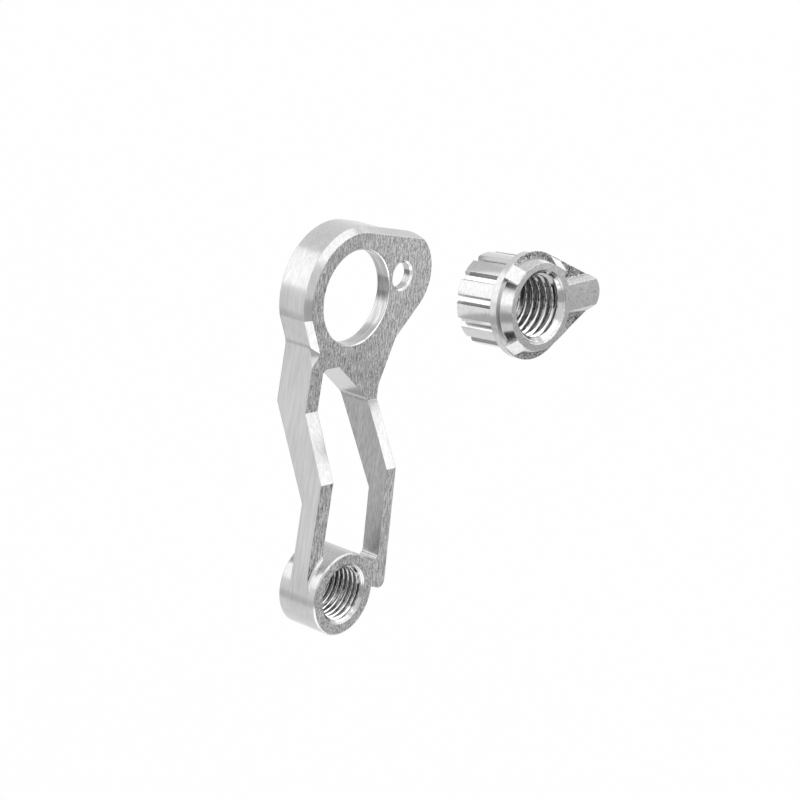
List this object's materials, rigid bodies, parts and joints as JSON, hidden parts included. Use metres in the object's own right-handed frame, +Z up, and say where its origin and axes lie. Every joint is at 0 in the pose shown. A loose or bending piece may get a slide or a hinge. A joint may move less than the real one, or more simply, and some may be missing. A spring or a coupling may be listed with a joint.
{
  "type": "bicycle derailleur hanger",
  "caption": "Machined bicycle derailleur hanger: round head with axle bore and screw ear, open joggled legs and threaded boss, with its splined axle nut set beside it.",
  "frame": {"origin": "on the axle bore's axis, in the outer face of the head", "axes": "+X across towards the ear, +Y inwards towards the wheel, +Z up"},
  "size_m": [0.0542, 0.0263, 0.0671],
  "materials": {
    "hanger_metal": "bare machined, fine straight grain on the front faces, smoother on the sides",
    "nut_metal": "bare machined, bright"
  },
  "bodies": {
    "root": {"hanger": "hanger_metal", "axle_nut": "nut_metal"}
  },
  "joints": []
}
